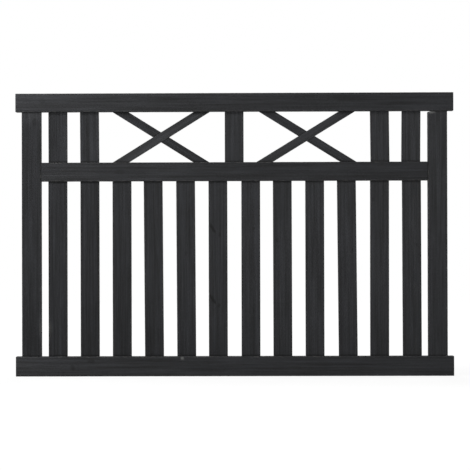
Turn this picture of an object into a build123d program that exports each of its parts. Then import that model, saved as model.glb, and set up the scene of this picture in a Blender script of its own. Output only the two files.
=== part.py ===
from build123d import *

import os
from math import asin, atan2, hypot, sin

# Painted timber fence panel: upright slats between rails and stiles, with a band of crossed braces
# under the top rail. Millimetres. X runs along the panel from its left end, Y runs from the front
# (negative) to the back, and Z is up. The origin is the centre of the bottom rail's left end face.

# Frame
PANEL_HEIGHT = 1200.0
FRAME_WIDTH = 1804.0            # over the outer faces of the two stiles
RAIL_OVERHANG = 26.0            # how far the top and bottom rails run on past each stile
TOP_RAIL_HEIGHT = 78.0
BOTTOM_RAIL_HEIGHT = 84.0
RAIL_THICKNESS = 45.0
MIDDLE_RAIL_HEIGHT = 80.0
STILE_WIDTH = 82.0
STILE_THICKNESS = 36.0          # also the middle rail's
UPPER_FIELD_HEIGHT = 215.0      # clear height between the top and middle rails
FRAME_EASE = 3.0                # radius of the long arrises

# Stub tenons of the stiles and the middle rail
TENON_LENGTH = 20.0
TENON_THICKNESS = 16.0
TENON_SHOULDER = 12.0
TENON_CLEARANCE = 0.3

# Slats, housed in the rails at both ends
LOWER_SLAT_COUNT = 12
SLAT_WIDTH = 80.0
SLAT_THICKNESS = 18.0
SLAT_EASE = 2.0
END_GAP = 30.0                  # between a stile and the slat beside it
HOUSING_DEPTH = 12.0
HOUSING_CLEARANCE = 0.3
SLAT_HEAD_ROOM = 1.0            # space left over a slat's head in its housing
UPPER_SLATS_EACH_SIDE = 2       # short slats between a stile and the nearer cross

# Crossed braces, half-lapped where they cross
BRACE_WIDTH = 36.0
BRACE_THICKNESS = 18.0
BRACE_EASE = 1.5
BRACE_SIDE_GAP = 59.0           # along the rails, between a cross and the slats beside it
LAP_CLEARANCE = 0.2

# Pieces that stand a little off their set-out: shift of the foot and of the head along the panel
OFF_LINE = {
    "lower_slat_04": (0.5, -4.0),
    "lower_slat_05": (1.0, -2.5),
    "lower_slat_06": (-1.0, -1.5),
    "lower_slat_07": (1.0, 1.5),
    "lower_slat_08": (0.0, -1.0),
    "lower_slat_10": (4.5, -2.0),
    "lower_slat_11": (1.0, 2.5),
    "lower_slat_12": (3.0, 1.0),
    "upper_slat_left_1": (1.0, 0.5),
    "upper_slat_left_2": (0.0, -1.5),
    "upper_slat_right_2": (5.0, 2.5),
    "upper_slat_right_1": (-1.5, 0.5),
    "left_brace_rising": (-2.0, -3.0),
    "left_brace_falling": (-6.0, -3.5),
    "right_brace_rising": (-5.0, -1.0),
    "right_brace_falling": (4.5, 5.0),
}

# Wedge split off the right stile's inner head corner
CHIP_WIDTH = 24.0
CHIP_HEIGHT = 5.0

# Levels, with the bottom rail's middle at zero
bottom_rail_top = BOTTOM_RAIL_HEIGHT / 2
top_rail_middle = PANEL_HEIGHT - (BOTTOM_RAIL_HEIGHT + TOP_RAIL_HEIGHT) / 2
top_rail_low = top_rail_middle - TOP_RAIL_HEIGHT / 2
middle_rail_top = top_rail_low - UPPER_FIELD_HEIGHT
middle_rail_low = middle_rail_top - MIDDLE_RAIL_HEIGHT

# Places along the panel
rail_length = FRAME_WIDTH + 2 * RAIL_OVERHANG
panel_middle = rail_length / 2
left_stile_middle = RAIL_OVERHANG + STILE_WIDTH / 2
right_stile_middle = rail_length - left_stile_middle
field_start = RAIL_OVERHANG + STILE_WIDTH
field_width = FRAME_WIDTH - 2 * STILE_WIDTH
slats_width = field_width - 2 * END_GAP
slat_pitch = (slats_width - SLAT_WIDTH) / (LOWER_SLAT_COUNT - 1)


def slat_place(number):
    """Middle of a slat along the panel, as set out."""
    return field_start + END_GAP + SLAT_WIDTH / 2 + (number - 1) * slat_pitch


def as_built(name, foot_place, head_place):
    """Places of a piece's foot and head along the panel, with its shift off the set-out."""
    foot_shift, head_shift = OFF_LINE.get(name, (0.0, 0.0))
    return foot_place + foot_shift, head_place + head_shift


def lengthwise(start, length, middle_level, height, thickness):
    """Level timber along the panel with eased arrises."""
    end_plane = Plane(origin=(start, 0, middle_level), x_dir=(0, 1, 0), z_dir=(1, 0, 0))
    return extrude(end_plane * RectangleRounded(thickness, height, FRAME_EASE), length)


def upright(level_width, thickness, ease, foot, head):
    """Timber with level ends, from the middle of its foot to the middle of its head."""
    section = RectangleRounded(level_width, thickness, ease) if ease else Rectangle(level_width, thickness)
    run = head - foot
    return extrude(Pos(foot) * section, run.length, dir=run)


def block(middle, size, room=0.0):
    """Square-edged block, larger by the given room on every side."""
    return Pos(middle) * Box(*[side + 2 * room for side in size])


def stile_tenons(middle, room=0.0):
    """Core of a stile that runs on past both ends as stub tenons."""
    length = top_rail_low - bottom_rail_top + 2 * TENON_LENGTH
    core = (STILE_WIDTH - 2 * TENON_SHOULDER, TENON_THICKNESS, length)
    return block(Vector(middle, 0, (top_rail_low + bottom_rail_top) / 2), core, room)


def middle_rail_tenons(room=0.0):
    """Core of the middle rail that runs on past both ends as stub tenons."""
    core = (field_width + 2 * TENON_LENGTH, TENON_THICKNESS, MIDDLE_RAIL_HEIGHT - 2 * TENON_SHOULDER)
    return block(Vector(panel_middle, 0, (middle_rail_top + middle_rail_low) / 2), core, room)


def slat_and_room(foot_place, head_place, low_level, high_level):
    """Slat housed in a rail at each end, and the space that the rails leave for it."""
    foot = Vector(foot_place, 0, low_level - HOUSING_DEPTH)
    head = Vector(head_place, 0, high_level + HOUSING_DEPTH)
    run = head - foot
    short_head = head - run * (SLAT_HEAD_ROOM / run.Z)
    slat = upright(SLAT_WIDTH, SLAT_THICKNESS, SLAT_EASE, foot, short_head)
    room_width = SLAT_WIDTH + 2 * HOUSING_CLEARANCE
    room_thickness = SLAT_THICKNESS + 2 * HOUSING_CLEARANCE
    return slat, upright(room_width, room_thickness, SLAT_EASE + HOUSING_CLEARANCE, foot, head)


def brace(foot, head, width, ease=0.0):
    """Arm of a cross, cut level at both ends."""
    run = head - foot
    return upright(width * run.length / run.Z, BRACE_THICKNESS, ease, foot, head)


def crossed_braces(side, space_start, space_end):
    """Rising and falling arm of one cross, each cut half away where the other passes."""
    spread = space_end - space_start - 2 * BRACE_SIDE_GAP
    slope = atan2(UPPER_FIELD_HEIGHT, spread) + asin(BRACE_WIDTH / hypot(spread, UPPER_FIELD_HEIGHT))
    inset = BRACE_SIDE_GAP + BRACE_WIDTH / sin(slope) / 2
    start, end = space_start + inset, space_end - inset
    set_out = {f"{side}_brace_rising": (start, end), f"{side}_brace_falling": (end, start)}
    lines = []
    for name, places in set_out.items():
        foot_place, head_place = as_built(name, *places)
        lines.append((Vector(foot_place, 0, middle_rail_top), Vector(head_place, 0, top_rail_low)))
    arms = [brace(foot, head, BRACE_WIDTH, BRACE_EASE) for foot, head in lines]
    laps = [brace(foot, head, BRACE_WIDTH + 2 * LAP_CLEARANCE) for foot, head in lines]
    half = BRACE_THICKNESS / 2
    return dict(zip(set_out, (arms[0] - Pos(0, half, 0) * laps[1], arms[1] - Pos(0, -half, 0) * laps[0])))


parts = {}

# Lower field of evenly set slats
lower_rooms = []
for number in range(1, LOWER_SLAT_COUNT + 1):
    name = f"lower_slat_{number:02d}"
    places = as_built(name, slat_place(number), slat_place(number))
    parts[name], room = slat_and_room(*places, bottom_rail_top, middle_rail_low)
    lower_rooms.append(room)

# Upper field: short slats over the outermost lower ones, and one in the middle of the panel
upper_places = {"centre": panel_middle}
for step in range(1, UPPER_SLATS_EACH_SIDE + 1):
    upper_places[f"left_{step}"] = slat_place(step)
    upper_places[f"right_{step}"] = slat_place(LOWER_SLAT_COUNT + 1 - step)
upper_rooms = []
for spot, place in upper_places.items():
    name = f"upper_slat_{spot}"
    parts[name], room = slat_and_room(*as_built(name, place, place), middle_rail_top, top_rail_low)
    upper_rooms.append(room)

# A cross in each space between the short slats and the middle one
half_slat = SLAT_WIDTH / 2
left_inner, right_inner = (upper_places[f"{side}_{UPPER_SLATS_EACH_SIDE}"] for side in ("left", "right"))
parts |= crossed_braces("left", left_inner + half_slat, panel_middle - half_slat)
parts |= crossed_braces("right", panel_middle + half_slat, right_inner - half_slat)

# Stiles, tenoned into the top and bottom rails and mortised for the middle rail
for side, middle in (("left", left_stile_middle), ("right", right_stile_middle)):
    foot = Vector(middle, 0, bottom_rail_top)
    head = Vector(middle, 0, top_rail_low)
    stile = upright(STILE_WIDTH, STILE_THICKNESS, FRAME_EASE, foot, head) + stile_tenons(middle)
    parts[f"{side}_stile"] = stile - middle_rail_tenons(TENON_CLEARANCE)

inner_head_corner = (right_stile_middle - STILE_WIDTH / 2, top_rail_low)
chip = make_face(Plane.XZ * Polyline(
    inner_head_corner,
    (inner_head_corner[0] + CHIP_WIDTH, inner_head_corner[1]),
    (inner_head_corner[0], inner_head_corner[1] - CHIP_HEIGHT),
    close=True,
))
parts["right_stile"] -= extrude(chip, STILE_THICKNESS, both=True)

# Rails, housed for the slats and mortised for the stiles
stile_rooms = [stile_tenons(middle, TENON_CLEARANCE) for middle in (left_stile_middle, right_stile_middle)]
middle_rail_level = (middle_rail_top + middle_rail_low) / 2
middle_rail = lengthwise(field_start, field_width, middle_rail_level, MIDDLE_RAIL_HEIGHT, STILE_THICKNESS)
parts["middle_rail"] = (middle_rail + middle_rail_tenons()) - (lower_rooms + upper_rooms)

bottom_rail = lengthwise(0, rail_length, 0, BOTTOM_RAIL_HEIGHT, RAIL_THICKNESS)
parts["bottom_rail"] = bottom_rail - (lower_rooms + stile_rooms)

top_rail = lengthwise(0, rail_length, top_rail_middle, TOP_RAIL_HEIGHT, RAIL_THICKNESS)
parts["top_rail"] = top_rail - (upper_rooms + stile_rooms)

os.makedirs("parts", exist_ok=True)
for name, shape in parts.items():
    export_step(shape, f"parts/{name}.step")
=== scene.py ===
import math
import random

import bpy
import numpy as np
from mathutils import Matrix, Vector


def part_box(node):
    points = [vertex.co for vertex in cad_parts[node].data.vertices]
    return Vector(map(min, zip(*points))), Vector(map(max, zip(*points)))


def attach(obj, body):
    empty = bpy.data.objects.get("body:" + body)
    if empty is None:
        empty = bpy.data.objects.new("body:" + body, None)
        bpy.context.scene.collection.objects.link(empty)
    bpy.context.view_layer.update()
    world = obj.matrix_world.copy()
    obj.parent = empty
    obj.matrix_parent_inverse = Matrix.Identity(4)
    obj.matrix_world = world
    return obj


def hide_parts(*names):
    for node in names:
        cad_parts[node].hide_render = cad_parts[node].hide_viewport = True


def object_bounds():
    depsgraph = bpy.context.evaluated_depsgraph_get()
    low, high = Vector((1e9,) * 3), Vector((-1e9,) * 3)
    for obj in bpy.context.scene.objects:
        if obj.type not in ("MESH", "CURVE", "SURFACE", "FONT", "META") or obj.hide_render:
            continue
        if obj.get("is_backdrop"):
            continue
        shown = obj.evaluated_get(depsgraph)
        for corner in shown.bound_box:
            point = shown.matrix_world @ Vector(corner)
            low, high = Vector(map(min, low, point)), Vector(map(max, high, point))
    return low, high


# Painted timber fence panel. Each timber is swept along its CAD piece with its grain in relief, jointed as
# in the CAD, and painted. Metres: X runs along the panel, the front faces -Y, and Z is up.

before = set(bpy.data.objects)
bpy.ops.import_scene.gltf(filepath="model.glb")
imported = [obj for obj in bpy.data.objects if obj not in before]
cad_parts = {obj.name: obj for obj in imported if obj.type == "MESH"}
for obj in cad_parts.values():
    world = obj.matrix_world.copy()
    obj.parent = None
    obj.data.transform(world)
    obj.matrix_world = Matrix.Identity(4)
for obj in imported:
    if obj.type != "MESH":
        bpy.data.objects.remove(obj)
cad_low, cad_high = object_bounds()

# Joinery
TENON_SHOULDER = 0.012
TENON_THICKNESS = 0.016
TENON_CLEARANCE = 0.0003
HOUSING_CLEARANCE = 0.0003
HEAD_ROOM = 0.001
LAP_CLEARANCE = 0.0002
CHIP_WIDTH = 0.024
CHIP_HEIGHT = 0.005
# How far the block that cuts the chip stands past the stile's side, over its head, and from its middle
CHIP_SIDE_ROOM = 0.01
CHIP_HEAD_ROOM = 0.002
CHIP_HALF_DEPTH = 0.03
# Points of the CAD nearer in level than this are at the same end of a timber
SAME_LEVEL = 1e-5

# Rounding of the long arrises and of the cut ends, and the least that is left where a section is drawn in
FRAME_EASE = 0.003
SLAT_EASE = 0.002
BRACE_EASE = 0.0015
SAWN_END_EASE = 0.0018
FITTED_END_EASE = 0.0004
LEAST_EASE = 0.0002

# Mesh steps along a timber, across its faces and round an arris, and points round a housing's corner
STEP_ALONG = 0.006
STEP_ACROSS = 0.0025
FEWEST_ACROSS = 4
FEWEST_DEEP = 3
ARC_STEPS = 3
HOUSING_ARC_POINTS = 4

# Depth of the relief, always inward
RING_RELIEF = 0.00016
WAVE_RELIEF = 0.00012
ARRIS_RELIEF = 0.0005
KNOT_RELIEF = 0.00035
# Rings from one point to the next at which their relief starts to fade, and is gone
RING_FADE = (0.12, 0.34)
# Swell at which an arris starts to be nicked, and is nicked in full, and the swell's rates there
NICKED = (0.45, 0.85)
NICK_RATE_ALONG = 9
NICK_RATE_ACROSS = 2

# Wear of an arris, of its borders, and of the rounding at a cut end, which nicks them and also paints them
# paler as a painted highlight
ARRIS_WEAR_AND_HIGHLIGHT = 1.0
ARRIS_BORDER_WEAR_AND_HIGHLIGHT = 0.35
END_WEAR_AND_HIGHLIGHT = 0.7

# Growth rings: spacing, the pith's place across the width and past a face, and its lean along the timber
RING_SPACING = (0.0026, 0.0042)
PITH_ACROSS = (-0.45, 0.45)
PITH_PAST_FACE = (0.008, 0.045)
PITH_LEAN_ACROSS = (-0.02, 0.02)
PITH_LEAN_DEEP = (-0.012, 0.012)
# Sways of the pith: size, share of it that is used, shortest and longest wave
SWAYS = ((0.004, 0.7, 1.6), (0.0022, 0.22, 0.45), (0.0009, 0.07, 0.16))
SWAY_SHARE = (0.5, 1.0)
# Swells of the faces: how many, their rates along and across the timber, and the size of each
SWELL_COUNT = 5
SWELL_RATE_ALONG = (4, 18)
SWELL_RATE_ACROSS = (-70, 70)
SWELL_SIZE = 0.1
# Where a timber's piece of the noise starts, along it and across it
NOISE_START_ALONG = (0, 40)
NOISE_START_ACROSS = (0, 4)

# A knot in its own half widths: rings that it pushes aside and over what distance, its edge, and its rim
KNOT_RINGS = 3.5
KNOT_PUSH = 2.0
KNOT_EDGE = (0.75, 1.15)
KNOT_RIM = 1.05
KNOT_RIM_WIDTH = 0.25
# Share of the thickness, from the middle to its own face, over which a knot on one face fades in
KNOT_REACH = (-0.1, 0.35)

# Distance from a joint at which its painted shade has long faded
NOOK_REACH = 0.1
# Painted shade at the middle rail's butted ends and at the laps is narrower than elsewhere by this factor
BUTT_TIGHT = 2.5
# Distance over a slat's field at which the painted shade of its head starts
JOINT_SHADE_HEADS = {"lower": 0.0, "upper": 0.016}
# How far inside the other arm's edge, and past the middle of the thickness, a lap still shows painted shade
LAP_INSIDE = 0.002
LAP_FACE = 0.001

# Map for baking: the long faces, then a strip for the ends and one with a cell for each face of a joint
BAKE_MAP = "OFBake"
LONG_FACES_SPAN = 0.86
LONG_FACES_MARGIN = 0.005
ENDS_START, ENDS_SPAN = 0.875, 0.045
END_MARGIN, END_SPAN = 0.02, 0.46
CUTS_START = np.array((0.93, 0.01))
CUTS_SPAN = np.array((0.06, 0.98))
CUTS_ACROSS = 4
CUT_MARGIN = 0.1
# Keeps a face that is a line from being divided by nothing
LEAST_SIZE = 1e-9

# Keeps the grain's direction off the normal of an end
FIBRE_SKEW = np.array((0.013, 0.017, 0.011))
SHARP_ANGLE = math.radians(40)

# Knots and swirls: place along the panel and level, half width, stretch along the grain, turn in degrees,
# face (-1 front, 1 back, 0 right through) and how plainly they show
KNOTS = {
    "top_rail": [(0.114, 1.126, 0.009, 1.5, 0, -1, 0.5), (1.236, 1.105, 0.009, 1.5, 0, 1, 0.8)],
    "middle_rail": [(0.443, 0.825, 0.010, 2.0, 0, -1, 0.5), (1.520, 0.838, 0.010, 1.6, 0, 1, 0.8)],
    "bottom_rail": [
        (0.321, 0.024, 0.008, 1.6, 0, -1, 0.7),
        (0.242, -0.006, 0.008, 1.5, 60, -1, 0.7),
        (0.930, 0.012, 0.010, 1.6, 0, 1, 0.8),
        (1.410, -0.014, 0.006, 1.5, 0, 1, 0.6),
    ],
    "left_stile": [(0.0815, 1.037, 0.010, 1.6, 0, -1, 0.6), (0.058, 0.430, 0.010, 1.8, 0, 1, 0.8)],
    "right_stile": [(1.790, 1.054, 0.008, 2.2, 0, -1, 0.25), (1.803, 0.610, 0.009, 1.8, 0, 1, 0.8)],
    "lower_slat_02": [(0.322, 0.640, 0.007, 1.8, 0, 1, 0.7)],
    "lower_slat_04": [(0.579, 0.270, 0.006, 1.5, 0, 0, 0.5)],
    "lower_slat_05": [(0.7215, 0.480, 0.006, 1.5, 0, 0, 0.5)],
    "lower_slat_06": [
        (0.834, 0.586, 0.0048, 5.0, -34, 0, 1.0),
        (0.866, 0.556, 0.005, 1.6, 0, 0, 0.7),
        (0.834, 0.285, 0.0048, 5.0, -34, 0, 1.0),
        (0.862, 0.257, 0.005, 1.6, 0, 0, 0.7),
    ],
    "lower_slat_07": [(1.011, 0.583, 0.005, 1.6, 0, -1, 0.65)],
    "lower_slat_08": [(1.109, 0.533, 0.005, 1.8, 0, -1, 0.65)],
    "lower_slat_09": [(1.262, 0.360, 0.008, 1.8, 0, 1, 0.8)],
    "lower_slat_10": [(1.428, 0.490, 0.005, 1.8, 0, -1, 0.65)],
    "lower_slat_11": [(1.516, 0.706, 0.005, 1.8, 0, -1, 0.65), (1.556, 0.550, 0.006, 1.6, 0, 1, 0.6)],
    "lower_slat_12": [(1.701, 0.511, 0.005, 1.6, 0, -1, 0.6)],
}

# Boards whose paint is a little paler or darker than the rest
TONES = {
    "middle_rail": 0.93,
    "bottom_rail": 1.07,
    "left_stile": 0.92,
    "right_stile": 1.08,
    "lower_slat_02": 0.82,
    "lower_slat_03": 0.84,
    "lower_slat_07": 1.12,
    "lower_slat_11": 0.95,
    "lower_slat_12": 0.9,
    "upper_slat_left_1": 1.08,
    "upper_slat_left_2": 1.3,
    "upper_slat_centre": 0.95,
    "upper_slat_right_1": 1.15,
    "left_brace_rising": 1.03,
    "left_brace_falling": 1.1,
    "right_brace_rising": 0.98,
    "right_brace_falling": 1.3,
}

# Paler patches on the front: place along the panel and level, half length, half height and how much paler.
# Some are painted light: the brighter left end of the top rail, and pale lines along board edges where a side
# face catches the light. The rest are chips and paler places in the paint.
PATCHES = {
    "top_rail": [(0.03, 1.12, 0.16, 0.08, 0.45)],
    "bottom_rail": [(0.0, 0.0, 0.2, 0.09, 0.8), (0.7058, 0.0342, 0.0046, 0.0052, 18.0)],
    "left_stile": [(0.075, 1.06, 0.05, 0.03, 1.1), (0.106, 0.165, 0.012, 0.04, 1.8)],
    "lower_slat_01": [(0.139, 0.155, 0.012, 0.035, 3.8)],
    "right_stile": [(1.822, 0.82, 0.012, 0.03, 0.8), (1.763, 1.0756, 0.012, 0.0045, 22.0)],
}
# Half the depth over which a patch fades through the timber
PATCH_DEPTH = 0.012

# Paint: near black, paler on the arrises where it is rubbed thin and as a painted highlight, and neutral
# where it is chipped
PAINT = (0.0097, 0.0102, 0.0118, 1.0)
THIN_PAINT_HIGHLIGHT = (0.06, 0.058, 0.055, 1.0)
UNDERCOAT = (0.0101, 0.0102, 0.0101, 1.0)
CHIPPED_TONE = (1.2, 3.0)
RUBBED_HIGHLIGHT_NOISE = (0.46, 0.64)
RUBBED_HIGHLIGHT_SHARE = 0.7
DARKEST = 0.12
# Painted shade in the joints: how much darker the paint is made next to each joint
PAINTED_JOINT_SHADE = -0.66
# Distance from a joint at which the painted shade starts to fade, and is gone, and how far its edge frays
JOINT_SHADE_FADE = (0.005, 0.014)
JOINT_SHADE_FRAY = 0.006

# Noises stretched along the grain: rates along, across and through the timber, and detail
NOISES = {
    "pores": ((14.0, 620.0, 620.0), 4.0),
    "streaks": ((3.2, 150.0, 150.0), 3.0),
    "bands": ((1.6, 45.0, 45.0), 2.0),
    "blotches": ((9.0, 20.0, 20.0), 3.0),
    "frays": ((60.0, 260.0, 260.0), 3.0),
}
NOISE_ROUGHNESS = 0.55
# Late wood in each ring: where it starts, is fullest and ends, and how far the streaks shift the rings
LATE_RISE = (0.25, 0.9)
LATE_FALL = (0.9, 1.0)
RING_WOBBLE = 0.5

# What the paint's shade, roughness and bumps are made of: a start, noises spread about nothing, and marks
SHADE = (
    1.1,
    {"pores": 1.5, "streaks": 2.2, "bands": 1.6, "blotches": 1.0},
    {"late": -0.5, "knot": -1.0, "rim": -0.5, "end_grain": -0.2, "late_end_grain": -0.4},
)
ROUGHNESS = (
    0.76,
    {"pores": 0.2, "streaks": -0.25},
    {"late": -0.08, "knot": 0.1, "joint_shade": 0.06, "end_grain": 0.12},
)
BUMPS = (0.0, {}, {"pores": 0.8, "late": 0.45, "streaks": 0.5, "rim": -0.8})
BUMP_STRENGTH = 0.7
BUMP_DEPTH = 0.0009
SPECULAR = 0.32
ANISOTROPY = 0.65
ANISOTROPY_TURN = 0.25

# Stage: a white floor that shows a share of the panel's shadow, fading with distance
FLOOR_REACH = 9.0
FLOOR_GREY = (0.8, 0.8, 0.8, 1.0)
WHITE = (1.0, 1.0, 1.0, 1.0)
FLOOR_WHITE_STRENGTH = 1.03
SHADOW_SHARE = 0.14
SHADOW_FADE = (0.25, 1.0)
WORLD_LIGHT = 0.1

# Camera
CAMERA_PLACE = (1.018, -7.5, 0.5208)
CAMERA_YAW = math.radians(0.669)
CAMERA_PITCH = math.radians(0.269)
CAMERA_ROLL = math.radians(-0.152)
SENSOR_WIDTH = 36.0
LENS = 135.29
CLIP_END = 100.0


def smoothstep(low, high, value):
    t = np.clip((value - low) / (high - low), 0.0, 1.0)
    return t * t * (3.0 - 2.0 * t)


def section(width, thickness, ease, inset=0.0):
    """Points round a timber's section and the outward directions there, from the front left arris.

    They follow the border of a grid of columns by rows cells, so that an end can be filled with quads.
    """
    columns = max(FEWEST_ACROSS, round((width - 2 * ease) / STEP_ACROSS))
    deep = max(FEWEST_DEEP, round((thickness - 2 * ease) / STEP_ACROSS))
    radius = max(ease - inset, LEAST_EASE)
    w = width / 2 - inset - radius
    d = thickness / 2 - inset - radius
    points, normals, wear_and_highlight = [], [], []

    def run(start, end, normal, steps):
        for step in range(steps):
            share = step / steps
            points.append([a + (b - a) * share for a, b in zip(start, end)])
            normals.append(normal)
            wear_and_highlight.append(ARRIS_BORDER_WEAR_AND_HIGHLIGHT if step == 0 else 0.0)

    def turn(centre, start_angle):
        for step in range(ARC_STEPS):
            angle = start_angle + math.pi / 2 * step / ARC_STEPS
            way = (math.cos(angle), math.sin(angle))
            points.append([a + radius * b for a, b in zip(centre, way)])
            normals.append(way)
            wear_and_highlight.append(ARRIS_BORDER_WEAR_AND_HIGHLIGHT if step == 0 else ARRIS_WEAR_AND_HIGHLIGHT)

    run((-w, -d - radius), (w, -d - radius), (0.0, -1.0), columns)
    turn((w, -d), -math.pi / 2)
    run((w + radius, -d), (w + radius, d), (1.0, 0.0), deep)
    turn((w, d), 0.0)
    run((w, d + radius), (-w, d + radius), (0.0, 1.0), columns)
    turn((-w, d), math.pi / 2)
    run((-w - radius, d), (-w - radius, -d), (-1.0, 0.0), deep)
    turn((-w, -d), math.pi)
    rows = deep + 2 * ARC_STEPS
    return np.array(points), np.array(normals), np.array(wear_and_highlight), columns, rows


class Figure:
    """Growth rings and knots of one timber, as functions of place in it."""

    def __init__(self, name, width, thickness, knots):
        rng = random.Random(name)
        full_turn = (0, 2 * math.pi)
        self.spacing = rng.uniform(*RING_SPACING)
        side = rng.choice((-1, 1))
        self.pith_across = rng.uniform(*PITH_ACROSS) * width
        self.pith_deep = side * (thickness / 2 + rng.uniform(*PITH_PAST_FACE))
        self.lean_across = rng.uniform(*PITH_LEAN_ACROSS)
        self.lean_deep = rng.uniform(*PITH_LEAN_DEEP)
        self.waves = []
        for size, shortest, longest in SWAYS:
            for axis in (0, 1):
                self.waves.append((axis, size * rng.uniform(*SWAY_SHARE), rng.uniform(shortest, longest),
                                   rng.uniform(*full_turn)))
        self.swells = []
        for _ in range(SWELL_COUNT):
            self.swells.append((rng.uniform(*SWELL_RATE_ALONG), rng.uniform(*SWELL_RATE_ACROSS),
                                rng.uniform(*SWELL_RATE_ACROSS), rng.uniform(*full_turn)))
        self.offset = (rng.uniform(*NOISE_START_ALONG), rng.uniform(*NOISE_START_ACROSS),
                       rng.uniform(*NOISE_START_ACROSS))
        self.thickness = thickness
        self.knots = knots

    def sway(self, along, axis):
        total = 0.0
        for wave_axis, size, length, phase in self.waves:
            if wave_axis == axis:
                total = total + size * np.sin(2 * math.pi * along / length + phase)
        return total

    def knot_distance(self, knot, along, across, deep):
        """Distance from a knot's middle in its own half widths, and how plainly it shows there."""
        place, level, size, stretch, turn, face, strength = knot
        da, dc = along - place, across - level
        c, s = math.cos(math.radians(turn)), math.sin(math.radians(turn))
        q = np.hypot((da * c + dc * s) / (size * stretch), (dc * c - da * s) / size)
        reach = 1.0 if face == 0 else smoothstep(*KNOT_REACH, face * deep / self.thickness)
        return q, reach * strength

    def read(self, along, across, deep):
        """Ring count, knot mask and knot rim at each place."""
        middle_across = self.pith_across + self.lean_across * along + self.sway(along, 0)
        middle_deep = self.pith_deep + self.lean_deep * along + self.sway(along, 1)
        ring = np.hypot(across - middle_across, deep - middle_deep) / self.spacing
        mask = np.zeros_like(ring)
        rim = np.zeros_like(ring)
        for knot in self.knots:
            q, reach = self.knot_distance(knot, along, across, deep)
            ring = ring + KNOT_RINGS * np.exp(-((q / KNOT_PUSH) ** 2)) * reach
            mask = np.maximum(mask, (1.0 - smoothstep(*KNOT_EDGE, q)) * reach ** 2)
            rim = np.maximum(rim, np.exp(-(((q - KNOT_RIM) / KNOT_RIM_WIDTH) ** 2)) * reach ** 2)
        return ring, mask, rim

    def swell(self, along, across, deep):
        total = 0.0
        for a, c, d, phase in self.swells:
            total = total + np.sin(a * along + c * across + d * deep + phase)
        return 0.5 + SWELL_SIZE * total


def tone_at(name, points):
    """Tone of a board's paint at each place, with the patches that show on its front, some of them painted
    light.
    """
    x, y, z = points.T
    front = 1.0 - smoothstep(-PATCH_DEPTH, PATCH_DEPTH, y)
    tone = np.full(len(points), TONES.get(name, 1.0))
    for place, level, half_length, half_height, paler in PATCHES.get(name, []):
        near = np.exp(-((x - place) / half_length) ** 2 - ((z - level) / half_height) ** 2)
        tone = tone + paler * front * near
    return tone


def stations(length, end_ease):
    """Places of the section along a timber, how far it is drawn in, and how squarely its sides face out."""
    quarter = [math.pi / 2 * step / ARC_STEPS for step in range(ARC_STEPS)]
    first = [(end_ease * (1 - math.cos(q)), end_ease * (1 - math.sin(q)), math.sin(q)) for q in quarter]
    steps = round((length - 2 * end_ease) / STEP_ALONG)
    middle = [(end_ease + (length - 2 * end_ease) * k / steps, 0.0, 1.0) for k in range(steps + 1)]
    last = [(length - place, inset, side) for place, inset, side in reversed(first)]
    return first + middle + last


def end_grid(loop, columns, rows):
    """Points of a grid that fills the loop of a section's points."""
    front = loop[:columns + 1]
    right = loop[columns:columns + rows + 1]
    back = loop[columns + rows:2 * columns + rows + 1][::-1]
    left = np.concatenate((loop[2 * columns + rows:], loop[:1]))[::-1]
    u = np.linspace(0, 1, columns + 1)[None, :, None]
    v = np.linspace(0, 1, rows + 1)[:, None, None]
    edges = (1 - v) * front[None] + v * back[None] + (1 - u) * left[:, None] + u * right[:, None]
    corners = ((1 - u) * (1 - v) * front[0] + u * (1 - v) * front[-1]
               + (1 - u) * v * back[0] + u * v * back[-1])
    return edges - corners


def build_mesh(name, points, faces, corners, layers):
    mesh = bpy.data.meshes.new(name)
    mesh.from_pydata(points.tolist(), [], faces.tolist())
    for key, values in layers.items():
        vector = values.ndim == 2
        layer = mesh.attributes.new(key, "FLOAT_VECTOR" if vector else "FLOAT", "POINT")
        layer.data.foreach_set("vector" if vector else "value", values.astype(np.float32).ravel())
    bake_map = mesh.uv_layers.new(name=BAKE_MAP)
    bake_map.data.foreach_set("uv", corners.astype(np.float32).ravel())
    return mesh


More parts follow.
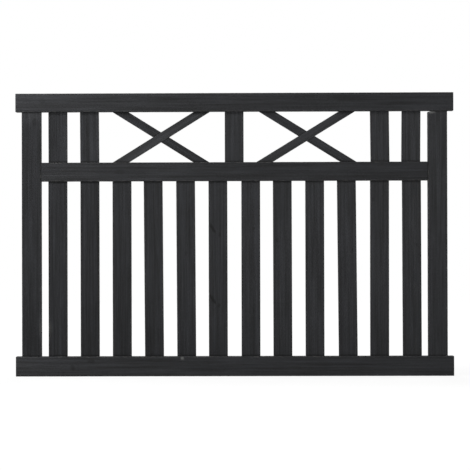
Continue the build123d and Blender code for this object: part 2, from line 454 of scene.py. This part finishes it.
def timber(name, start, end, across, width, thickness, ease, end_ease, nook):
    """One timber as a mesh: a rounded section swept from start to end, with grain in relief.

    nook gives the distance from the nearest joint at any place, from which the painted shade in the joints is
    drawn.
    """
    start, end, across = (np.array(v, float) for v in (start, end, across))
    depth_way = np.array((0.0, 1.0, 0.0))
    run = end - start
    length = float(np.linalg.norm(run))
    run = run / length
    square = across - run * float(across @ run)
    square = square / np.linalg.norm(square)
    # Knots are given in the panel's own coordinates
    knots = []
    for x, z, *form in KNOTS.get(name, []):
        place = np.array((x, 0.0, z)) - start
        knots.append((float(place @ run), float(place @ square), *form))
    figure = Figure(name, width, thickness, knots)

    # Rings of points from end to end, drawn in over a quarter round at both ends
    rings = stations(length, end_ease)
    sections = {inset: section(width, thickness, ease, inset) for _, inset, _ in rings}
    _, normals, wear_and_highlight, columns, rows = sections[0.0]
    count = len(normals)
    flat = np.array([sections[inset][0] for _, inset, _ in rings])
    places = np.array([place for place, _, _ in rings])
    shell = start + places[:, None, None] * run + flat[:, :, :1] * across + flat[:, :, 1:] * depth_way

    # Ends, filled with a grid between the four sides of the section
    border = [(0, i) for i in range(columns)] + [(j, columns) for j in range(rows)]
    border += [(rows, columns - i) for i in range(columns)] + [(rows - j, 0) for j in range(rows)]
    border = tuple(np.array(border).T)
    grids, numbers = [], []
    first_free = len(rings) * count
    for which in (0, len(rings) - 1):
        number = np.zeros((rows + 1, columns + 1), int)
        number[border] = which * count + np.arange(count)
        inner = (rows - 1) * (columns - 1)
        number[1:-1, 1:-1] = first_free + np.arange(inner).reshape(rows - 1, columns - 1)
        first_free += inner
        grids.append(end_grid(shell[which], columns, rows)[1:-1, 1:-1].reshape(-1, 3))
        numbers.append(number)

    # Growth rings, knots and the relief that they leave
    def coordinates(points):
        local = points - start
        return local @ run, local @ square, points[..., 1]

    along, wide, deep = coordinates(shell)
    ring, _, rim = figure.read(along, wide, deep)
    change = np.abs(np.roll(ring, -1, 1) - ring)
    change = np.maximum(change, np.roll(change, 1, 1))
    fine = 1.0 - smoothstep(*RING_FADE, change)
    relief = RING_RELIEF * fine * (0.5 - 0.5 * np.cos(2 * math.pi * ring))
    relief = relief + WAVE_RELIEF * figure.swell(along, wide, deep) + KNOT_RELIEF * rim
    nick = figure.swell(along * NICK_RATE_ALONG, wide * NICK_RATE_ACROSS, deep * NICK_RATE_ACROSS)
    relief = relief + ARRIS_RELIEF * wear_and_highlight * smoothstep(*NICKED, nick)
    side = np.array([share for _, _, share in rings])[:, None]
    outward = normals[None, :, :1] * across + normals[None, :, 1:] * depth_way
    shell = shell - outward * (relief * side)[:, :, None]
    worn_and_highlit = np.maximum(wear_and_highlight[None] * np.ones_like(along), np.where(side < 1.0, END_WEAR_AND_HIGHLIGHT, 0.0))

    def layers_at(points):
        """Grain and paint at any places in the timber, away from its arrises and ends."""
        along, wide, deep = coordinates(points)
        ring, mask, rim = figure.read(along, wide, deep)
        return {
            "grain": np.stack((along, wide, deep), 1) + np.array(figure.offset),
            "ring": ring,
            "knot": mask,
            "rim": rim,
            "arris": np.zeros(len(points)),
            "end_grain": np.zeros(len(points)),
            "tone": tone_at(name, points),
            "nook": nook(*points.T),
            "fibre": np.tile(run + FIBRE_SKEW, (len(points), 1)),
        }

    points = np.concatenate([shell.reshape(-1, 3)] + grids)
    layers = layers_at(points)
    layers["arris"][:worn_and_highlit.size] = worn_and_highlit.ravel()
    layers["end_grain"][worn_and_highlit.size:] = 1.0
    for number in numbers:
        layers["end_grain"][number[border]] = 1.0
    layers_of[name] = layers_at

    # Faces: the shell, then both ends, with a map for each face corner
    k, i = (grid.ravel() for grid in np.meshgrid(np.arange(len(rings) - 1), np.arange(count), indexing="ij"))
    after = (i + 1) % count
    here, there = k * count, (k + 1) * count
    faces = [np.stack((here + i, here + after, there + after, there + i), 1)]
    u = LONG_FACES_SPAN * places / length
    v = LONG_FACES_MARGIN + (1 - 2 * LONG_FACES_MARGIN) * np.arange(count + 1) / count
    corners = [np.stack((u[k], v[i], u[k], v[i + 1], u[k + 1], v[i + 1], u[k + 1], v[i]), 1)]
    j, i = (grid.ravel() for grid in np.meshgrid(np.arange(rows), np.arange(columns), indexing="ij"))
    order = ((j, i), (j, i + 1), (j + 1, i + 1), (j + 1, i))
    for which, number in enumerate(numbers):
        outline = order if which else order[::-1]
        faces.append(np.stack([number[a, b] for a, b in outline], 1))
        spots = []
        for a, b in outline:
            spots += [ENDS_START + ENDS_SPAN * a / rows, END_MARGIN + 0.5 * which + END_SPAN * b / columns]
        corners.append(np.stack(spots, 1))
    mesh = build_mesh(name + "_timber", points, np.concatenate(faces), np.concatenate(corners), layers)
    piece = bpy.data.objects.new(name + "_timber", mesh)
    bpy.context.scene.collection.objects.link(piece)
    return piece


def mend_cuts(name):
    """Gives the points and faces that a joint's cuts have made their grain, paint and place on the map."""
    mesh = boards[name].data
    count = len(mesh.vertices)
    points = np.zeros(3 * count)
    mesh.vertices.foreach_get("co", points)
    points = points.reshape(-1, 3)
    tone = np.zeros(count)
    mesh.attributes["tone"].data.foreach_get("value", tone)
    lost = tone <= 0.0
    if not lost.any():
        return
    for key, values in layers_of[name](points[lost]).items():
        values = values.reshape(len(values), -1)
        size = values.shape[1]
        field = "vector" if size == 3 else "value"
        whole = np.zeros(count * size)
        mesh.attributes[key].data.foreach_get(field, whole)
        whole.reshape(count, size)[lost] = values
        mesh.attributes[key].data.foreach_set(field, whole)

    bake_map = mesh.uv_layers[BAKE_MAP].data
    corners = np.zeros(2 * len(bake_map))
    bake_map.foreach_get("uv", corners)
    corners = corners.reshape(-1, 2)
    unmapped = []
    for face in mesh.polygons:
        of_face = slice(face.loop_start, face.loop_start + face.loop_total)
        if not corners[of_face].any():
            unmapped.append((face, of_face))
    down = math.ceil(len(unmapped) / CUTS_ACROSS)
    for spot, (face, of_face) in enumerate(unmapped):
        outline = np.delete(points[list(face.vertices)], np.argmax(np.abs(face.normal)), 1)
        outline = (outline - outline.min(0)) / np.maximum(np.ptp(outline, 0), LEAST_SIZE)
        cell = np.array(divmod(spot, down)) + CUT_MARGIN + (1 - 2 * CUT_MARGIN) * outline
        corners[of_face] = CUTS_START + CUTS_SPAN * cell / (CUTS_ACROSS, down)
    bake_map.foreach_set("uv", corners.ravel())


def prism(loops):
    """Closed block between two loops of the same number of points, as points and faces."""
    count = len(loops[0])
    faces = [(i, (i + 1) % count, count + (i + 1) % count, count + i) for i in range(count)]
    faces += [tuple(reversed(range(count))), tuple(range(count, 2 * count))]
    return list(loops[0]) + list(loops[1]), faces


def upright_block(foot, head, width, thickness, ease=0.0):
    """Block with level ends between the middles of its foot and head."""
    w, t = width / 2 - ease, thickness / 2 - ease
    outline = []
    for x, y, first in ((w, -t, -90), (w, t, 0), (-w, t, 90), (-w, -t, 180)):
        for step in range(HOUSING_ARC_POINTS if ease else 1):
            angle = math.radians(first + 90 * step / (HOUSING_ARC_POINTS - 1))
            outline.append((x + ease * math.cos(angle), y + ease * math.sin(angle)))
    return prism([[Vector(end) + Vector((x, y, 0)) for x, y in outline] for end in (foot, head)])


def box_block(low, high, room=0.0):
    """Square-edged block between two corners, larger by the given room on every side."""
    middle = (low + high) / 2
    size = high - low
    return upright_block((middle.x, middle.y, low.z - room), (middle.x, middle.y, high.z + room),
                         size.x + 2 * room, size.y + 2 * room)


def combine(piece, blocks, operation):
    """Cuts blocks away from a piece, or joins them to it."""
    points, faces = [], []
    for block_points, block_faces in blocks:
        faces += [tuple(len(points) + n for n in face) for face in block_faces]
        points += block_points
    mesh = bpy.data.meshes.new("joint")
    mesh.from_pydata(points, [], faces)
    tool = bpy.data.objects.new("joint", mesh)
    bpy.context.scene.collection.objects.link(tool)
    step = piece.modifiers.new("joint", "BOOLEAN")
    step.operation = operation
    step.solver = "MANIFOLD"
    step.object = tool
    result = bpy.data.meshes.new_from_object(piece.evaluated_get(bpy.context.evaluated_depsgraph_get()))
    piece.modifiers.clear()
    old = piece.data
    piece.data = result
    bpy.data.meshes.remove(old)
    result.name = piece.name
    bpy.data.objects.remove(tool)
    bpy.data.meshes.remove(mesh)


def middles(name):
    """Middles of a CAD timber's foot and head."""
    points = np.array([v.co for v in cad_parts[name].data.vertices], float)
    ends = []
    for level in (points[:, 2].min(), points[:, 2].max()):
        at_end = points[np.abs(points[:, 2] - level) < SAME_LEVEL]
        ends.append(Vector((*((at_end.min(0) + at_end.max(0)) / 2)[:2], level)))
    return ends


def upright_sizes(name):
    """Middles of a CAD timber's foot and head, its level width and its thickness."""
    low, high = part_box(name)
    foot, head = middles(name)
    return foot, head, high.x - low.x - abs(head.x - foot.x), high.y - low.y


def between(under, over):
    """Distance from the nearer of two level joints."""
    return lambda x, y, z: np.minimum(z - under, over - z)


def beside_arm(foot, head, level_width, cut_side):
    """Distance from the rails, or from the other arm of a cross on the side where that one runs through."""
    lean = (head.x - foot.x) / (head.z - foot.z)
    square = 1 / math.hypot(1, lean)
    ends_near = between(foot.z, head.z)

    def nook(x, y, z):
        beside = (np.abs(x - foot.x - lean * (z - foot.z)) - level_width / 2) * square
        clear = (beside < -LAP_INSIDE) | (y * cut_side < LAP_FACE)
        beside = np.where(clear, NOOK_REACH, BUTT_TIGHT * np.abs(beside))
        return np.minimum(ends_near(x, y, z), beside)

    return nook


def beside_rail(inner):
    """Distance of a stile's surface from its shoulders or from the middle rail's end."""
    ends_near = between(bottom_high.z, top_low.z)

    def nook(x, y, z):
        past = np.maximum(np.maximum(middle_low.z - z, z - middle_high.z), 0.0)
        return np.minimum(ends_near(x, y, z), BUTT_TIGHT * np.hypot(x - inner, past))

    return nook


def beside_stiles(first, last):
    """Distance from the nearer of the two stiles that a rail is butted between."""
    return lambda x, y, z: BUTT_TIGHT * np.minimum(x - first, last - x)


def clear_of_joints(x, y, z):
    return np.full_like(x, NOOK_REACH)


X, Z = Vector((1, 0, 0)), Vector((0, 0, 1))
top_low, top_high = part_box("top_rail")
bottom_low, bottom_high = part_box("bottom_rail")
middle_low, middle_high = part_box("middle_rail")
left_low, left_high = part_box("left_stile")
right_low, right_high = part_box("right_stile")

boards = {}
layers_of = {}

# Slats and the room that the rails leave for them, by the levels of the rails under and over each field
fields = {"lower": (bottom_high.z, middle_low.z), "upper": (middle_high.z, top_low.z)}
rooms = {"lower": [], "upper": []}
for name in sorted(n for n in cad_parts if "_slat_" in n):
    field = name.split("_")[0]
    under, over = fields[field]
    foot, head, width, thickness = upright_sizes(name)
    boards[name] = timber(name, foot, head, X, width, thickness, SLAT_EASE, FITTED_END_EASE,
                          between(under, over + JOINT_SHADE_HEADS[field]))
    run = head - foot
    top = head + run * (HEAD_ROOM / run.z)
    room = 2 * HOUSING_CLEARANCE
    rooms[field].append(
        upright_block(foot, top, width + room, thickness + room, SLAT_EASE + HOUSING_CLEARANCE))

# Crosses: the rising arm keeps its front half where they meet, the falling one its back half
for side in ("left", "right"):
    arms = {way: upright_sizes(f"{side}_brace_{way}") for way in ("rising", "falling")}
    for way, other, cut_side in (("rising", "falling", 1), ("falling", "rising", -1)):
        name = f"{side}_brace_{way}"
        foot, head, level_width, thickness = arms[way]
        boards[name] = timber(name, foot, head, X, level_width, thickness, BRACE_EASE, FITTED_END_EASE,
                              beside_arm(*arms[other][:3], cut_side))
        foot, head, level_width, thickness = arms[other]
        slope = math.atan2(head.z - foot.z, abs(head.x - foot.x))
        depth = Vector((0, cut_side * thickness / 2, 0))
        lap_width = level_width + 2 * LAP_CLEARANCE / math.sin(slope)
        lap = upright_block(foot + depth, head + depth, lap_width, thickness)
        combine(boards[name], [lap], "DIFFERENCE")

# Stiles, with stub tenons and a mortise for the middle rail
tenon_half = TENON_THICKNESS / 2
middle_tenons = (Vector((middle_low.x, -tenon_half, middle_low.z + TENON_SHOULDER)),
                 Vector((middle_high.x, tenon_half, middle_high.z - TENON_SHOULDER)))
stile_rooms = []
for name, low, high, inner in (("left_stile", left_low, left_high, left_high.x),
                               ("right_stile", right_low, right_high, right_low.x)):
    centre = (low.x + high.x) / 2
    foot, head = Vector((centre, 0, bottom_high.z)), Vector((centre, 0, top_low.z))
    boards[name] = timber(name, foot, head, X, high.x - low.x, high.y - low.y, FRAME_EASE, FITTED_END_EASE,
                          beside_rail(inner))
    core = (Vector((low.x + TENON_SHOULDER, -tenon_half, low.z)),
            Vector((high.x - TENON_SHOULDER, tenon_half, high.z)))
    combine(boards[name], [box_block(*core)], "UNION")
    combine(boards[name], [box_block(*middle_tenons, TENON_CLEARANCE)], "DIFFERENCE")
    stile_rooms.append(box_block(*core, TENON_CLEARANCE))

# Wedge split off the right stile's inner head corner
corner = Vector((right_low.x, 0, top_low.z))
wedge = [corner + Vector((x, 0, z)) for x, z in (
    (-CHIP_SIDE_ROOM, -CHIP_HEIGHT),
    (0, -CHIP_HEIGHT),
    (CHIP_WIDTH, 0),
    (CHIP_WIDTH, CHIP_HEAD_ROOM),
    (-CHIP_SIDE_ROOM, CHIP_HEAD_ROOM),
)]
chip_deep = Vector((0, CHIP_HALF_DEPTH, 0))
chip = prism([[p + chip_deep for p in wedge], [p - chip_deep for p in wedge]])
combine(boards["right_stile"], [chip], "DIFFERENCE")

# Rails, housed for the slats and mortised for the stiles
for name, low, high, start, end, end_ease, nook in (
    ("top_rail", top_low, top_high, top_low.x, top_high.x, SAWN_END_EASE, clear_of_joints),
    ("middle_rail", middle_low, middle_high, left_high.x, right_low.x, FITTED_END_EASE,
     beside_stiles(left_high.x, right_low.x)),
    ("bottom_rail", bottom_low, bottom_high, bottom_low.x, bottom_high.x, SAWN_END_EASE, clear_of_joints),
):
    level = (low.z + high.z) / 2
    boards[name] = timber(name, (start, 0, level), (end, 0, level), -Z, high.z - low.z, high.y - low.y,
                          FRAME_EASE, end_ease, nook)
combine(boards["middle_rail"], [box_block(*middle_tenons)], "UNION")
combine(boards["middle_rail"], rooms["lower"] + rooms["upper"], "DIFFERENCE")
combine(boards["top_rail"], rooms["upper"] + stile_rooms, "DIFFERENCE")
combine(boards["bottom_rail"], rooms["lower"] + stile_rooms, "DIFFERENCE")


class Nodes:
    """Node tree of a material or a world, filled by short calls."""

    def __init__(self, owner):
        owner.use_nodes = True
        self.tree = owner.node_tree
        self.tree.nodes.clear()

    def add(self, kind, inputs=None, **settings):
        made = self.tree.nodes.new("ShaderNode" + kind)
        for key, value in settings.items():
            setattr(made, key, value)
        for key, value in (inputs or {}).items():
            if isinstance(value, bpy.types.NodeSocket):
                self.tree.links.new(value, made.inputs[key])
            else:
                made.inputs[key].default_value = value
        return made

    def calc(self, operation, first, second=0.0, third=0.0):
        return self.add("Math", {0: first, 1: second, 2: third}, operation=operation).outputs[0]

    def ease(self, value, low, high, to_low=0.0, to_high=1.0):
        return self.add("MapRange", {
            "Value": value, "From Min": low, "From Max": high, "To Min": to_low, "To Max": to_high,
        }, interpolation_type="SMOOTHSTEP").outputs["Result"]

    def noise(self, vector, rates, detail):
        mapped = self.add("VectorMath", {0: vector, 1: rates}, operation="MULTIPLY").outputs[0]
        return self.add("TexNoise", {
            "Vector": mapped, "Scale": 1.0, "Detail": detail, "Roughness": NOISE_ROUGHNESS,
        }).outputs["Fac"]

    def mix(self, share, first, second):
        return self.add("MixRGB", {"Fac": share, "Color1": first, "Color2": second}).outputs[0]

    def seen(self):
        """One where the camera sees something, straight, mirrored or through glass, and nothing elsewhere."""
        light = self.add("LightPath").outputs
        indirect = self.calc("MAXIMUM", light["Is Glossy Ray"], light["Is Transmission Ray"])
        return self.calc("MAXIMUM", light["Is Camera Ray"], indirect)

    def finish(self, kind, shader):
        self.add("Output" + kind, {"Surface": shader.outputs[0]})


def painted_timber():
    material = bpy.data.materials.new("painted_timber")
    nodes = Nodes(material)

    def layer(name, output="Fac"):
        return nodes.add("Attribute", attribute_name=name).outputs[output]

    grain = layer("grain", "Vector")
    parts = {name: layer(name) for name in ("ring", "knot", "rim", "arris", "end_grain", "tone", "nook")}
    parts |= {name: nodes.noise(grain, *settings) for name, settings in NOISES.items()}
    phase = nodes.calc("FRACT", nodes.calc("MULTIPLY_ADD", parts["streaks"], RING_WOBBLE, parts["ring"]))
    late = nodes.calc("MULTIPLY", nodes.ease(phase, *LATE_RISE), nodes.ease(phase, *LATE_FALL, 1.0, 0.0))
    # Painted shade in the joints: the paint is darkened near each joint, with a frayed edge
    frayed = nodes.calc("MULTIPLY_ADD", parts["frays"], JOINT_SHADE_FRAY, parts["nook"])
    joint_shade = nodes.ease(frayed, *JOINT_SHADE_FADE, 1.0, 0.0)
    parts |= {
        "late": late,
        "late_end_grain": nodes.calc("MULTIPLY", parts["end_grain"], late),
        "joint_shade": joint_shade,
    }

    def sum_of(start, spreads, marks):
        total = start
        for name, spread in spreads.items():
            centred = nodes.calc("SUBTRACT", parts[name], 0.5)
            total = nodes.calc("ADD", nodes.calc("MULTIPLY", centred, spread), total)
        for name, share in marks.items():
            total = nodes.calc("MULTIPLY_ADD", parts[name], share, total)
        return total

    # Streaked along the grain, darkened with painted shade in the joints, and paler where the paint is thin
    # or chipped and as a painted highlight on the arrises
    shade = nodes.calc("MULTIPLY", nodes.calc("MAXIMUM", sum_of(*SHADE), DARKEST), parts["tone"])
    shade = nodes.calc("MULTIPLY", shade, nodes.calc("MULTIPLY_ADD", joint_shade, PAINTED_JOINT_SHADE, 1.0))
    base = nodes.mix(nodes.ease(parts["tone"], *CHIPPED_TONE), PAINT, UNDERCOAT)
    colour = nodes.add("VectorMath", {0: base, "Scale": shade}, operation="SCALE").outputs[0]
    # Painted highlight on the arrises: they are made paler, which also stands for paint rubbed thin there
    rubbed_highlight = nodes.calc("MULTIPLY", parts["arris"], nodes.ease(parts["frays"], *RUBBED_HIGHLIGHT_NOISE))
    colour = nodes.mix(nodes.calc("MULTIPLY", rubbed_highlight, RUBBED_HIGHLIGHT_SHARE), colour, THIN_PAINT_HIGHLIGHT)

    bump = nodes.add("Bump", {"Strength": BUMP_STRENGTH, "Distance": BUMP_DEPTH, "Height": sum_of(*BUMPS)})
    nodes.finish("Material", nodes.add("BsdfPrincipled", {
        "Base Color": colour,
        "Roughness": sum_of(*ROUGHNESS),
        "Specular IOR Level": SPECULAR,
        "Anisotropic": ANISOTROPY,
        "Anisotropic Rotation": ANISOTROPY_TURN,
        "Tangent": layer("fibre", "Vector"),
        "Normal": bump.outputs["Normal"],
    }))
    return material


paint = painted_timber()
for name, piece in boards.items():
    mend_cuts(name)
    piece.data.materials.clear()
    piece.data.materials.append(paint)
    piece.data.shade_smooth()
    piece.data.set_sharp_from_angle(angle=SHARP_ANGLE)
    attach(piece, "root")
    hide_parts(name)

# Stage
FLOOR_LEVEL = bottom_low.z
MIDDLE_X = (cad_low.x + cad_high.x) / 2
HALF_LENGTH = (cad_high.x - cad_low.x) / 2


def floor_material():
    material = bpy.data.materials.new("floor")
    nodes = Nodes(material)
    place = nodes.add("SeparateXYZ", {0: nodes.add("NewGeometry").outputs["Position"]}).outputs
    sideways = nodes.calc("ABSOLUTE", nodes.calc("SUBTRACT", place["X"], MIDDLE_X))
    beyond = nodes.calc("MAXIMUM", nodes.calc("SUBTRACT", sideways, HALF_LENGTH), 0.0)
    squares = [nodes.calc("POWER", value, 2.0) for value in (place["Y"], beyond)]
    away = nodes.calc("SQRT", nodes.calc("ADD", *squares))
    shown = nodes.ease(away, *SHADOW_FADE, SHADOW_SHARE, 0.0)
    plain = nodes.add("BsdfDiffuse", {"Color": FLOOR_GREY}).outputs[0]
    white = nodes.add("Emission", {"Color": WHITE, "Strength": FLOOR_WHITE_STRENGTH}).outputs[0]
    near = nodes.add("MixShader", {0: shown, 1: white, 2: plain}).outputs[0]
    nodes.finish("Material", nodes.add("MixShader", {0: nodes.seen(), 1: plain, 2: near}))
    return material


floor_mesh = bpy.data.meshes.new("floor")
sides = ((-1, -1), (1, -1), (1, 1), (-1, 1))
floor_mesh.from_pydata(
    [(MIDDLE_X + x * FLOOR_REACH, y * FLOOR_REACH, FLOOR_LEVEL) for x, y in sides], [], [(0, 1, 2, 3)])
floor = bpy.data.objects.new("floor", floor_mesh)
bpy.context.scene.collection.objects.link(floor)
floor_mesh.materials.append(floor_material())
floor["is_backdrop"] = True

world = bpy.data.worlds.new("studio")
bpy.context.scene.world = world
nodes = Nodes(world)
strength = nodes.calc("MULTIPLY_ADD", nodes.seen(), 1.0 - WORLD_LIGHT, WORLD_LIGHT)
nodes.finish("World", nodes.add("Background", {"Color": WHITE, "Strength": strength}))


def lamp(name, place, target, size, power, depth=None):
    """Soft lamp, round or an oblong of size by depth."""
    data = bpy.data.lights.new(name, "AREA")
    data.shape = "RECTANGLE" if depth else "DISK"
    data.size = size
    data.size_y = depth or size
    data.energy = power
    made = bpy.data.objects.new(name, data)
    made.location = place
    made.rotation_euler = (Vector(target) - Vector(place)).to_track_quat("-Z", "Y").to_euler()
    bpy.context.scene.collection.objects.link(made)


# Lamps: place, what they face, width and watts, and depth where they are oblong
AIM = (MIDDLE_X, 0.0, 0.55)
lamp("key", (-1.19, -1.84, 2.98), AIM, 0.86, 106)
lamp("front", (-0.4, -6.0, 1.9), AIM, 2.5, 41)
lamp("side", (4.2, -3.0, 1.4), AIM, 2.0, 21)
lamp("bounce", (MIDDLE_X, -1.8, FLOOR_LEVEL + 0.01), (MIDDLE_X, -1.8001, 5.0), 3.0, 20, 1.4)
lamp("back", (MIDDLE_X, 3.4, 2.6), AIM, 2.0, 95)
lamp("left_end", (MIDDLE_X - 4.2, 1.6, 1.7), AIM, 1.6, 60)
lamp("right_end", (MIDDLE_X + 4.2, 1.6, 1.7), AIM, 1.6, 60)

camera_data = bpy.data.cameras.new("camera")
camera_data.sensor_width = SENSOR_WIDTH
camera_data.lens = LENS
camera_data.clip_end = CLIP_END
camera = bpy.data.objects.new("camera", camera_data)
camera.matrix_world = (Matrix.Translation(CAMERA_PLACE) @ Matrix.Rotation(CAMERA_YAW, 4, "Z")
                       @ Matrix.Rotation(math.pi / 2 + CAMERA_PITCH, 4, "X")
                       @ Matrix.Rotation(CAMERA_ROLL, 4, "Z"))
bpy.context.scene.collection.objects.link(camera)
bpy.context.scene.camera = camera
bpy.context.scene.view_settings.view_transform = "Standard"

low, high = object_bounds()
